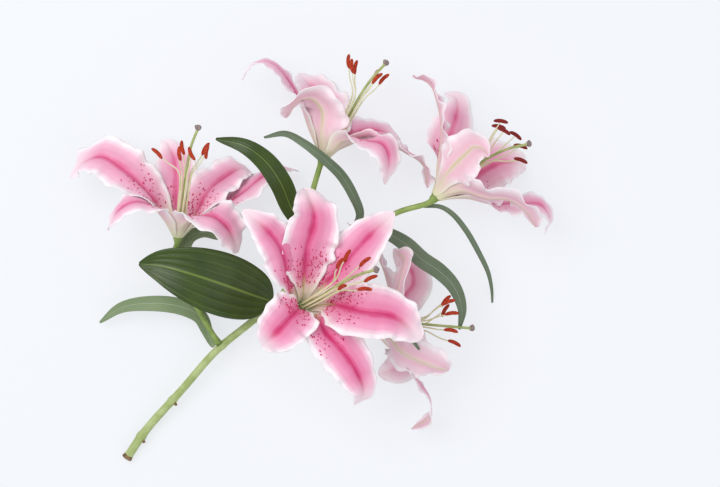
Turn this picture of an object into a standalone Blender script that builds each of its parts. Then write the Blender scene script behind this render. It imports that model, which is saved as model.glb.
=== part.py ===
"""Cut spray of an oriental lily: one stem with five open flowers, lying on a flat surface.

Blender 4.5 script. Lengths in the tables are millimetres, and the model is built in metres, +Z up.
X and Y lie in the surface that the spray rests on. Run it with blender --background --python part.py.
"""

import math

import bmesh
import bpy
import numpy as np

# ---------------------------------------------------------------- driving dimensions, millimetres
MM = 0.001
ORIGIN = (-43.58, -15.22, 1.08)  # centre of the spray's box on the surface, in the tables' coordinates
SEAT_GAP = 0.45  # between a receptacle and the pieces that stand on it

PETAL_HALF_WIDTH = 22.5  # inner whorl
SEPAL_HALF_WIDTH = 18.5  # outer whorl
TEPAL_THICKNESS = 0.8
LEAF_THICKNESS = 0.8
CLAW_HALF_WIDTH = 2.3  # a tepal's narrow foot

RECEPTACLE_RADIUS = 4.3
RECEPTACLE_TOP = 1.5  # above the tepals' feet, along the flower's axis
TUBE_PROFILE = ((0.0, 5.05), (9.0, 9.0), (20.0, 18.0))  # (height, radius) of an inner tepal's midrib
WHORL_STEP = 1.9  # how far the sepals run outside the petals in the funnel
SECTOR = 0.47  # half width against the distance from the axis, where six tepals stand side by side
TWIST_RANGE = (0.2, 0.6)  # shares of a tepal's length between which it turns
FREE_BEND = (-0.006, 0.010)  # curvature across a sepal and a petal beyond the funnel, per millimetre

PEDICEL_RADIUS = 2.5
STEM_RADIUS = 3.9
UMBEL_RADIUS = 5.2  # the swelling where four flower stalks leave the stem

FILAMENT_RADIUS = 0.75
ANTHER_RADIUS = 1.7
STAMEN_RING = (2.65, 4.0, 1.4)  # inner radius, outer radius, height
STYLE_RADIUS = 1.25
OVARY_RADIUS = 2.0
OVARY_LENGTH = 20.0
STIGMA_RADIUS = 3.1

# ---------------------------------------------------------------- the flowers
# seat: centre of the receptacle. axis: where the flower faces. roll: azimuth of the first sepal,
# from the flower's underside, in degrees. tepals: sepal and petal in turn, 60 degrees apart; each
# gives its width against the others of its whorl, its twist at the tip in degrees, then the points of its
# midrib beyond the funnel, from the seat.
# pistil: points of the style from the seat. anthers: centre from the seat, heading and dip in degrees.
FLOWERS = {
    "front": {
        "seat": (-50.0, -55.5, 80.0),
        "axis": (0.39, 0.46, 0.80),
        "roll": -5.0,
        "tepals": (
            (0.97, -9, ((41, 43, 17), (60, 64, 14), (80, 83, 4))),
            (1.0, -5, ((4, 50, 24), (11, 78, 27), (4, 100, 16), (1, 103, 12))),
            (1.0, 0, ((-17, 50, 40), (-31, 69, 48), (-50, 84, 48))),
            (0.9, 0, ((-15, -14, 48), (-26, -25, 50), (-34, -32, 40))),
            (1.0, 20, ((20, -20, 30), (33, -34, 35), (47, -54, 33), (53, -74, 25), (45, -84, 18))),
            (1.0, 6, ((50, -2, 36), (79, -7, 38), (104, -26, 28))),
        ),
        "pistil": ((14, 8, 20), (30, 19, 34), (49, 29, 48), (66, 34, 58)),
        "anthers": (
            ((54, 40, 46), 40, 10),
            ((39, 45, 56), 65, 20),
            ((33, 39, 62), 55, 30),
            ((35, 19, 70), 30, 50),
            ((54, 17, 60), 0, 10),
            ((59, 26, 54), 25, 10),
        ),
    },
    "left": {
        "seat": (-162.5, 6.5, 46.0),
        "axis": (0.15, 0.93, 0.33),
        "roll": 20.0,
        "tepals": (
            (1.0, -10, ((-3, 46, -15), (-6, 70, -28), (-14, 85, -36), (-19, 87, -40))),
            (0.95, -38, ((-25, 39, 8), (-46, 58, 8), (-67, 71, 4), (-84, 67, -4), (-98, 53, -12))),
            (0.9, -20, ((-20, 27, 30), (-35, 30, 40), (-49, 22, 38), (-60, 5, 24))),
            (0.95, 45, ((24, 18, 34), (38, 16, 43), (50, 4, 41), (56, -14, 30))),
            (0.95, 25, ((39, 26, -2), (57, 39, -6), (75, 54, -16), (93, 62, -26), (107, 59, -34))),
            (0.9, 10, ((24, 38, -8), (39, 53, -20), (55, 62, -30), (65, 56, -38))),
        ),
        "pistil": ((5, 27, 10), (9, 54, 20), (14, 78, 28), (22, 97, 34)),
        "anthers": (
            ((6, 78, 21), 100, 0),
            ((-16, 73, 24), -45, 0),
            ((5, 72, 38), 95, 0),
            ((15, 72, 34), 115, 0),
            ((28, 74, 28), 80, 0),
            ((26, 77, 20), 60, 0),
        ),
    },
    "top": {
        "seat": (-33.0, 76.0, 52.0),
        "axis": (0.34, 0.94, 0.0),
        "roll": 95.0,
        "tepals": (
            (1.0, -20, ((-26, 62, 0), (-47, 85, 0), (-64, 83, -2), (-72, 70, -6))),
            (0.9, 0, ((0, 41, 26), (-10, 51, 35), (-22, 48, 37), (-32, 34, 26))),
            (1.0, 30, ((41, 14, 27), (54, 10, 33), (59, -5, 30), (55, -24, 22))),
            (0.95, 10, ((39, 18, -4), (57, 14, -7), (74, 6, -10), (90, -5, -16), (94, -26, -24))),
            (0.9, 10, ((25, 23, -24), (40, 27, -33), (56, 26, -40), (70, 19, -45))),
            (1.0, -15, ((2, 42, -24), (-5, 60, -33), (-15, 72, -41), (-23, 79, -46))),
        ),
        "pistil": ((17, 26, 0), (31, 52, 2), (44, 71, 4), (58, 86, 4)),
        "anthers": (
            ((23, 85, 10), 92, 0),
            ((26, 80, 20), 95, 0),
            ((48, 70, 12), 45, 0),
            ((54, 70, 4), 45, 0),
            ((47, 74, -12), 70, 0),
            ((29, 81, -2), 80, 0),
        ),
    },
    "right": {
        "seat": (67.0, 41.5, 50.0),
        "axis": (0.73, 0.68, 0.0),
        "roll": 37.0,
        "tepals": (
            (1.0, -30, ((12, 48, -29), (20, 72, -37), (21, 90, -42), (10, 96, -45))),
            (1.0, -10, ((6, 59, 6), (2, 85, 4), (-4, 100, 2), (-20, 108, -4))),
            (1.0, 0, ((24, 35, 35), (32, 42, 46), (40, 40, 56), (44, 33, 60))),
            (0.95, 20, ((44, -1, 28), (64, -3, 33), (79, -13, 30), (88, -27, 20))),
            (0.95, 25, ((53, -6, -8), (77, -5, -6), (95, -7, -4), (103, -19, -8), (99, -33, -14))),
            (1.0, 10, ((44, 24, -26), (62, 32, -30), (75, 32, -35), (84, 26, -41))),
        ),
        "pistil": ((20, 17, 2), (44, 33, 5), (66, 43, 8), (85, 47, 10)),
        "anthers": (
            ((56, 62, 8), -12, 0),
            ((57, 66, 20), -8, 0),
            ((59, 57, 30), -28, 0),
            ((75, 32, 14), -20, 0),
            ((76, 45, 0), -15, 0),
            ((72, 55, -4), -35, 0),
        ),
    },
    "rear": {
        "seat": (4.5, -67.0, 38.0),
        "axis": (0.97, -0.10, 0.0),
        "roll": 30.0,
        "tepals": (
            (0.9, -40, ((34, 18, -24), (44, 31, -27), (40, 47, -27), (26, 62, -28))),
            (0.95, -10, ((18, 42, -5), (8, 62, -11), (-6, 76, -17), (-16, 86, -22))),
            (1.0, 0, ((28, 24, 31), (33, 41, 37), (35, 53, 30), (28, 60, 20))),
            (0.95, 0, ((32, -28, 26), (48, -36, 30), (63, -42, 26), (74, -46, 16))),
            (0.95, 5, ((35, -40, -3), (48, -57, -4), (59, -75, -6), (58, -90, -10), (42, -101, -20))),
            (0.8, 60, ((31, -17, -23), (38, -30, -28), (30, -46, -31), (12, -52, -32))),
        ),
        "pistil": ((24, -3, 2), (50, -5, 4), (74, -7, 6), (98, -9, 6)),
        "anthers": (
            ((72, 16, 8), 50, 0),
            ((74, 15, 18), 20, 0),
            ((77, 5, 20), 5, 0),
            ((76, -10, 22), -10, 0),
            ((80, -22, 4), -25, 0),
            ((72, 7, -4), 60, 0),
        ),
    },
}

# ---------------------------------------------------------------- stem and flower stalks
# Each point is (x, y, z). A stalk's last point is worked out from its flower.
STEM_POINTS = (
    (-213, -196, 5), (-195, -170, 9), (-162, -133, 14), (-130, -97, 19), (-97, -70, 24), (-61, -38, 30),
)
STALK_POINTS = {
    "left": ((-127.9, -90.3, 23.6), (-140, -70, 27), (-153, -46, 32), (-168, -14, 40)),
    "top": ((-61.8, -34.3, 28.5), (-51, 6, 38), (-43, 44, 46)),
    "right": ((-61, -38, 32.7), (-15, 2, 40), (34, 28, 47)),
    "front": ((-61.8, -41.4, 34.6), (-62, -50, 50), (-59, -61, 62)),
    "rear": ((-56.5, -38.4, 28.2), (-28, -58, 32), (-10, -66, 35)),
}

# ---------------------------------------------------------------- leaves
# points of the midrib from its foot, greatest half width, twist from foot to tip, roll at the foot
LEAVES = {
    "broad_leaf": (((-79, -52.2, 30.7), (-98, -45, 48), (-125, -35, 58), (-152, -26, 63), (-175, -20, 62),
                    (-196, -18, 56)), 28.0, 0, 0),
    "low_leaf": (((-132.9, -94, 19.9), (-139, -78, 19), (-145, -66, 20), (-162, -57, 24), (-189, -54, 25),
                  (-216, -58, 19), (-237, -72, 10)), 7.5, 0, 0),
    "small_bract": (((-162.5, -21, 36), (-159, -6, 32), (-153, 6, 31), (-141, 10, 32), (-127, 4, 32)), 6.0, 0, 0),
    "dark_leaf": (((-47, 8, 42), (-61, 31, 48), (-70, 53, 56), (-84, 73, 61), (-102, 86, 62), (-128, 93, 54)),
                  10.0, 0, 0),
    "arched_leaf": (((-8, 10, 44), (0, 25, 50), (-6, 43, 58), (-17, 61, 64), (-33, 76, 68), (-50, 89, 68),
                     (-66, 97, 64), (-85, 94, 58)), 5.0, 0, 0),
    "draped_leaf": (((8, 13, 46), (22, 10, 50), (40, 0, 53), (55, -14, 54), (71, -25, 53), (84, -39, 50),
                     (91, -58, 46), (89, -77, 40)), 7.5, 0, 0),
    "thread_leaf": (((56, 33, 46), (71, 33, 44), (82, 27, 40), (95, 12, 34), (107, -8, 26), (116, -26, 18),
                     (120, -42, 9), (121, -54, 3)), 2.6, 0, 0),
    "hidden_leaf": (((-58.6, -50, 53), (-20, -65, 76), (17, -71, 87), (39, -77, 87), (52, -93, 78)), 4.0, 0, 0),
}


# ---------------------------------------------------------------- curves and surfaces, numpy only
def unit(vector):
    return vector / np.linalg.norm(vector)


def smooth_step(low, high, value):
    t = np.clip((value - low) / (high - low), 0, 1)
    return t * t * (3 - 2 * t)


def smooth_curve(points, count):
    """count + 1 points, evenly spaced along a Catmull-Rom curve through the given points."""
    knots = np.array(points, float)
    ends = np.vstack([2 * knots[0] - knots[1], knots, 2 * knots[-1] - knots[-2]])
    gaps = np.sqrt(np.linalg.norm(np.diff(ends, axis=0), axis=1))
    dense = []
    for i in range(1, len(ends) - 2):
        before, here, after = gaps[i - 1], gaps[i], gaps[i + 1]
        p0, p1, p2, p3 = ends[i - 1 : i + 3]
        m1 = here * ((p1 - p0) / before - (p2 - p0) / (before + here) + (p2 - p1) / here)
        m2 = here * ((p2 - p1) / here - (p3 - p1) / (here + after) + (p3 - p2) / after)
        t = np.linspace(0, 1, 24, endpoint=False)[:, None]
        dense.append(
            (2 * t**3 - 3 * t**2 + 1) * p1 + (t**3 - 2 * t**2 + t) * m1
            + (3 * t**2 - 2 * t**3) * p2 + (t**3 - t**2) * m2
        )
    dense = np.vstack(dense + [knots[-1:]])
    length = np.concatenate([[0], np.cumsum(np.linalg.norm(np.diff(dense, axis=0), axis=1))])
    wanted = np.linspace(0, length[-1], count + 1)
    return np.stack([np.interp(wanted, length, dense[:, k]) for k in range(3)], axis=1)


def frames_along(line, side):
    """Unit tangent, side and face direction at each point, the side carried along without spin."""
    tangents = np.array([unit(t) for t in np.gradient(line, axis=0)])
    sides = []
    for tangent in tangents:
        side = unit(side - side.dot(tangent) * tangent)
        sides.append(side)
    sides = np.array(sides)
    return tangents, sides, np.cross(tangents, sides)


def turned(sides, faces, angles):
    """Side and face directions turned about the tangent by the angles, in radians."""
    c, s = np.cos(angles)[:, None], np.sin(angles)[:, None]
    return sides * c + faces * s, faces * c - sides * s


def flower_frame(flower):
    """Axis, and the two directions across it: azimuth 0 on the underside, and azimuth 90."""
    axis = unit(np.array(flower["axis"], float))
    under = unit(np.array([0, 0, -1.0]) + axis[2] * axis)
    return axis, under, np.cross(axis, under)


def tepal_midrib(flower, index, count):
    """The midrib's points, its azimuth direction, and each point's distance from the flower's axis."""
    axis, under, across = flower_frame(flower)
    angle = math.radians(flower["roll"] + 60 * index)
    outward = math.cos(angle) * under + math.sin(angle) * across
    outside = WHORL_STEP if index % 2 == 0 else 0.0
    seat = np.array(flower["seat"], float)
    funnel = [
        seat + height * axis + (radius + outside * min(1.0, height / 9.0)) * outward
        for height, radius in TUBE_PROFILE
    ]
    free = [seat + np.array(point, float) for point in flower["tepals"][index][2]]
    line = smooth_curve(funnel + free, count)
    from_seat = line - seat
    radii = np.linalg.norm(from_seat - (from_seat @ axis)[:, None] * axis, axis=1)
    return line, np.cross(axis, outward), radii


def tepal_width(v, index):
    """Half width at each share v of the length."""
    sepal = index % 2 == 0
    widest, tip, greatest = (0.46, 0.75, SEPAL_HALF_WIDTH) if sepal else (0.50, 0.60, PETAL_HALF_WIDTH)
    rise = tip * widest / (1 - widest)
    shape = (v**rise) * (1 - v) ** tip / (widest**rise * (1 - widest) ** tip)
    return CLAW_HALF_WIDTH * (1 - v) ** 0.5 + (greatest - CLAW_HALF_WIDTH * 0.7) * shape


def tepal_surface(flower, index, across_count, along_count):
    """Grid of points [along, across] of a tepal's middle surface."""
    line, side, radii = tepal_midrib(flower, index, along_count)
    v = np.linspace(0, 1, along_count + 1)
    tangents, sides, faces = frames_along(line, side)
    share, twist, _ = flower["tepals"][index]
    sides, faces = turned(sides, faces, math.radians(twist) * smooth_step(*TWIST_RANGE, v))
    width = np.minimum(share * tepal_width(v, index), SECTOR * radii + 40 * smooth_step(0.45, 0.7, v))
    free_bend = FREE_BEND[index % 2]
    bend = 1 / radii + (free_bend - 1 / radii) * smooth_step(0.15, 0.55, v)
    u = np.linspace(-1, 1, across_count + 1)
    turn = bend[:, None] * width[:, None] * u[None, :]
    sideways = np.sin(turn) / bend[:, None]
    raised = (1 - np.cos(turn)) / bend[:, None]
    return line[:, None] + sides[:, None] * sideways[..., None] + faces[:, None] * raised[..., None]


def leaf_surface(leaf, across_count, along_count):
    """Grid of points [along, across] of a leaf's middle surface, its upper face to +Z at the foot."""
    points, greatest, twist, roll = leaf
    line = smooth_curve(points, along_count)
    v = np.linspace(0, 1, along_count + 1)
    start = line[1] - line[0]
    tangents, sides, faces = frames_along(line, np.cross([0, 0, 1.0], start))
    sides, faces = turned(sides, faces, np.radians(roll + twist * v))
    width = 0.9 + (greatest - 0.9) * (v**0.62 * (1 - v) ** 0.85) / (0.42**0.62 * 0.58**0.85)
    u = np.linspace(-1, 1, across_count + 1)
    fold = 0.16 * np.abs(u) ** 1.5
    offset = sides[:, None] * u[None, :, None] + faces[:, None] * fold[None, :, None]
    return line[:, None] + width[:, None, None] * offset


def stalk_line(name, count):
    """Centre line and radius along a flower stalk, ending in its flower's receptacle."""
    flower = FLOWERS[name]
    axis, seat = flower_frame(flower)[0], np.array(flower["seat"], float)
    line = smooth_curve([*STALK_POINTS[name], seat - 7 * axis, seat + RECEPTACLE_TOP * axis], count)
    left = np.linalg.norm(line - line[-1], axis=1)
    return line, PEDICEL_RADIUS + (RECEPTACLE_RADIUS - PEDICEL_RADIUS) * smooth_step(9, 3, left)


def stem_line(count):
    """Centre line and radius along the main stem, from the cut end to the swelling of the umbel."""
    line = smooth_curve(STEM_POINTS, count)
    v = np.linspace(0, 1, count + 1)
    left = np.linalg.norm(line - line[-1], axis=1)
    swelling = (UMBEL_RADIUS - 3.0) * smooth_step(14, 3, left)
    return line, STEM_RADIUS - 0.9 * v + swelling


def filament_line(flower, index, count):
    """Centre line of a stamen's filament: from the ring, along the style, out to the anther."""
    axis, under, across = flower_frame(flower)
    seat = np.array(flower["seat"], float)
    angle = math.radians(flower["roll"] + 60 * index)
    outward = math.cos(angle) * under + math.sin(angle) * across
    ring_radius = (STAMEN_RING[0] + STAMEN_RING[1]) / 2
    foot = seat + (RECEPTACLE_TOP + SEAT_GAP + STAMEN_RING[2] / 2) * axis + ring_radius * outward
    tip = seat + np.array(flower["anthers"][index][0], float)
    style = [seat + np.array(point, float) for point in flower["pistil"]]
    low = foot + 0.9 * (style[0] - seat) + 0.5 * outward
    middle = style[1] + 3.8 * outward + 0.12 * (tip - style[1])
    return smooth_curve([foot, low, middle, 0.5 * (middle + tip) + 1.0 * outward, tip], count)


def pistil_line(flower, count):
    """Centre line and radius of ovary, style and stigma as one piece."""
    axis = flower_frame(flower)[0]
    seat = np.array(flower["seat"], float)
    foot = seat + (RECEPTACLE_TOP + SEAT_GAP) * axis
    style = [seat + np.array(point, float) for point in flower["pistil"]]
    line = smooth_curve([foot, foot + 4 * axis, *style], count)
    run = np.linspace(0, 1, count + 1) * np.linalg.norm(np.diff(line, axis=0), axis=1).sum()
    left = run[-1] - run
    radius = OVARY_RADIUS + (STYLE_RADIUS - OVARY_RADIUS) * smooth_step(0.6 * OVARY_LENGTH, OVARY_LENGTH, run)
    return line, radius + (STIGMA_RADIUS - STYLE_RADIUS) * smooth_step(5.0, 1.5, left)


# ---------------------------------------------------------------- Blender objects
def material(name, colour, roughness):
    made = bpy.data.materials.new(name)
    made.use_nodes = True
    shader = made.node_tree.nodes["Principled BSDF"]
    shader.inputs["Base Color"].default_value = (*colour, 1)
    shader.inputs["Roughness"].default_value = roughness
    shader.inputs["Metallic"].default_value = 0.0
    return made


def placed(points):
    return (np.asarray(points, float) - np.array(ORIGIN)) * MM


def add_object(name, data, finish):
    made = bpy.data.objects.new(name, data)
    bpy.context.scene.collection.objects.link(made)
    made.data.materials.append(finish)
    return made


def sheet(name, grid, thickness, finish):
    """A leaf or tepal: a quad sheet thickened by Solidify."""
    along, across = grid.shape[:2]
    points = placed(grid.reshape(-1, 3))
    shape = bmesh.new()
    corners = [shape.verts.new(point) for point in points]
    for i in range(along - 1):
        for j in range(across - 1):
            first = i * across + j
            shape.faces.new((corners[first], corners[first + 1], corners[first + across + 1], corners[first + across]))
    mesh = bpy.data.meshes.new(name)
    shape.to_mesh(mesh)
    shape.free()
    mesh.shade_smooth()
    made = add_object(name, mesh, finish)
    solid = made.modifiers.new("thickness", "SOLIDIFY")
    solid.thickness = thickness * MM
    solid.offset = 0.0
    return made


def tube_mesh(shape, line, radii, sides):
    """Adds a closed tube along a line to a bmesh."""
    start = line[1] - line[0]
    seed = np.array([0, 0, 1.0]) if abs(unit(start)[2]) < 0.9 else np.array([1.0, 0, 0])
    _, side, face = frames_along(line, np.cross(seed, start))
    rings = []
    for centre, a, b, radius in zip(line, side, face, radii):
        ring = []
        for k in range(sides):
            angle = 2 * math.pi * k / sides
            ring.append(shape.verts.new(placed(centre + radius * (math.cos(angle) * a + math.sin(angle) * b))))
        rings.append(ring)
    for low, high in zip(rings, rings[1:]):
        for k in range(sides):
            following = (k + 1) % sides
            shape.faces.new((low[k], low[following], high[following], high[k]))
    shape.faces.new(rings[0][::-1])
    shape.faces.new(rings[-1])


def tube(name, line, radii, sides, finish):
    shape = bmesh.new()
    tube_mesh(shape, line, radii, sides)
    bmesh.ops.recalc_face_normals(shape, faces=shape.faces)
    mesh = bpy.data.meshes.new(name)
    shape.to_mesh(mesh)
    shape.free()
    mesh.shade_smooth()
    return add_object(name, mesh, finish)


def helper(made):
    """Marks an object as a guide or an operand: it is joined into another, and isn't a piece."""
    made.hide_render = True
    made.display_type = "WIRE"
    return made


def join_by_union(made, others):
    for index, other in enumerate(others):
        union = made.modifiers.new(f"union_{index}", "BOOLEAN")
        union.operation = "UNION"
        union.solver = "EXACT"
        union.object = helper(other)


def anther_line(centre, heading, dip):
    """A short bowed line through an anther's middle, and its radii."""
    h, d = math.radians(heading), math.radians(dip)
    along = np.array([math.cos(h) * math.cos(d), math.sin(h) * math.cos(d), math.sin(d)])
    bow = unit(np.cross(along, [0, 0, 1.0]))
    steps = np.array([-1, -0.75, 0, 0.75, 1])
    line = np.array([centre + 6.5 * s * along + 1.2 * (s * s - 0.4) * bow for s in steps])
    return line, ANTHER_RADIUS * np.array([0.45, 0.9, 1.0, 0.9, 0.45])


def stamens(name, flower, finish):
    """The six stamens of a flower, joined by the ring of receptacle that carries them."""
    axis = flower_frame(flower)[0]
    seat = np.array(flower["seat"], float)
    inner, outer, height = STAMEN_RING
    low = seat + (RECEPTACLE_TOP + SEAT_GAP) * axis
    ring = tube(name, np.array([low, low + height * axis]), (outer, outer), 12, finish)
    core = tube(name + "_core", np.array([low - 2 * axis, low + (height + 2) * axis]), (inner, inner), 12, finish)
    parts = []
    for index in range(6):
        line = filament_line(flower, index, 5)
        parts.append(tube(f"{name}_filament_{index}", line, [FILAMENT_RADIUS] * 6, 5, finish))
        centre, heading, dip = flower["anthers"][index]
        bowed, radii = anther_line(seat + np.array(centre, float), heading, dip)
        parts.append(tube(f"{name}_anther_{index}", bowed, radii, 6, finish))
    join_by_union(ring, parts)
    bore = ring.modifiers.new("bore", "BOOLEAN")
    bore.operation = "DIFFERENCE"
    bore.solver = "EXACT"
    bore.object = helper(core)
    return ring


def build():
    for old in list(bpy.data.objects):
        bpy.data.objects.remove(old)
    petal_pink = material("petal_pink", (0.86, 0.42, 0.58), 0.5)
    leaf_green = material("leaf_green", (0.07, 0.16, 0.02), 0.35)
    stem_green = material("stem_green", (0.36, 0.45, 0.18), 0.5)
    anther_red = material("anther_red", (0.45, 0.07, 0.02), 0.7)
    style_green = material("style_green", (0.55, 0.58, 0.30), 0.5)

    tube("main_stem", *stem_line(16), 12, stem_green)
    for name, flower in FLOWERS.items():
        line, radii = stalk_line(name, 12)
        tube(f"{name}_stalk", line, radii, 10, stem_green)
        for index in range(6):
            kind = "sepal" if index % 2 == 0 else "petal"
            grid = tepal_surface(flower, index, 4, 8)
            sheet(f"{name}_{kind}_{index // 2 + 1}", grid, TEPAL_THICKNESS, petal_pink)
        stamens(f"{name}_stamens", flower, anther_red)
        line, radii = pistil_line(flower, 9)
        tube(f"{name}_pistil", line, radii, 8, style_green)
    for name, leaf in LEAVES.items():
        sheet(name, leaf_surface(leaf, 4, 8), LEAF_THICKNESS, leaf_green)


build()
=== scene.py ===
"""The looks of the cut lily spray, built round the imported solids.

Tables are in millimetres, as in the solids' source, and placed() turns them into the frame's metres.
"""

import math

import bpy
import numpy as np
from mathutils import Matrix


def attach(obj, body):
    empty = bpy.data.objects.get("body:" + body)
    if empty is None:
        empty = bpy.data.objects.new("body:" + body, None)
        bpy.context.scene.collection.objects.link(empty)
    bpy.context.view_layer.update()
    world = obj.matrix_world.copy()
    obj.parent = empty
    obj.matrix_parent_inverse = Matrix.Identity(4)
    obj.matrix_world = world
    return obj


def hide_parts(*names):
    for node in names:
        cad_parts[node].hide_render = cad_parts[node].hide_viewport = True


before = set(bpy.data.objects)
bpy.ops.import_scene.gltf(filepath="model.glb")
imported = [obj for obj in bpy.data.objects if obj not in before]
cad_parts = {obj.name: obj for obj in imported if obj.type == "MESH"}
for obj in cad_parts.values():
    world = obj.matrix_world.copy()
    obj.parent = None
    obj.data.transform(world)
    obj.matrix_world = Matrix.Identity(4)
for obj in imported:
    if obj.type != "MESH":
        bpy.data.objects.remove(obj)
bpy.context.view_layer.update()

# ---------------------------------------------------------------- driving dimensions, millimetres
MM = 0.001
ORIGIN = (-43.58, -15.22, 1.08)  # centre of the spray's box on the surface, in the tables' coordinates
SEAT_GAP = 0.45  # between a receptacle and the pieces that stand on it

PETAL_HALF_WIDTH = 22.5  # inner whorl
SEPAL_HALF_WIDTH = 18.5  # outer whorl
CLAW_HALF_WIDTH = 2.3  # a tepal's narrow foot

RECEPTACLE_RADIUS = 4.3
RECEPTACLE_TOP = 1.5  # above the tepals' feet, along the flower's axis
TUBE_PROFILE = ((0.0, 5.05), (9.0, 9.0), (20.0, 18.0))  # (height, radius) of an inner tepal's midrib
WHORL_STEP = 1.9  # how far the sepals run outside the petals in the funnel
TWIST_RANGE = (0.2, 0.6)  # shares of a tepal's length between which it turns
FREE_BEND = (-0.006, 0.010)  # curvature across a sepal and a petal beyond the funnel, per millimetre

PEDICEL_RADIUS = 2.5
STEM_RADIUS = 3.9
UMBEL_RADIUS = 5.2  # the swelling where four flower stalks leave the stem

ANTHER_RADIUS = 1.7
STAMEN_RING = (2.65, 4.0, 1.4)  # inner radius, outer radius, height
STYLE_RADIUS = 1.25
OVARY_RADIUS = 2.0
OVARY_LENGTH = 20.0
STIGMA_RADIUS = 3.1

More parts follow.
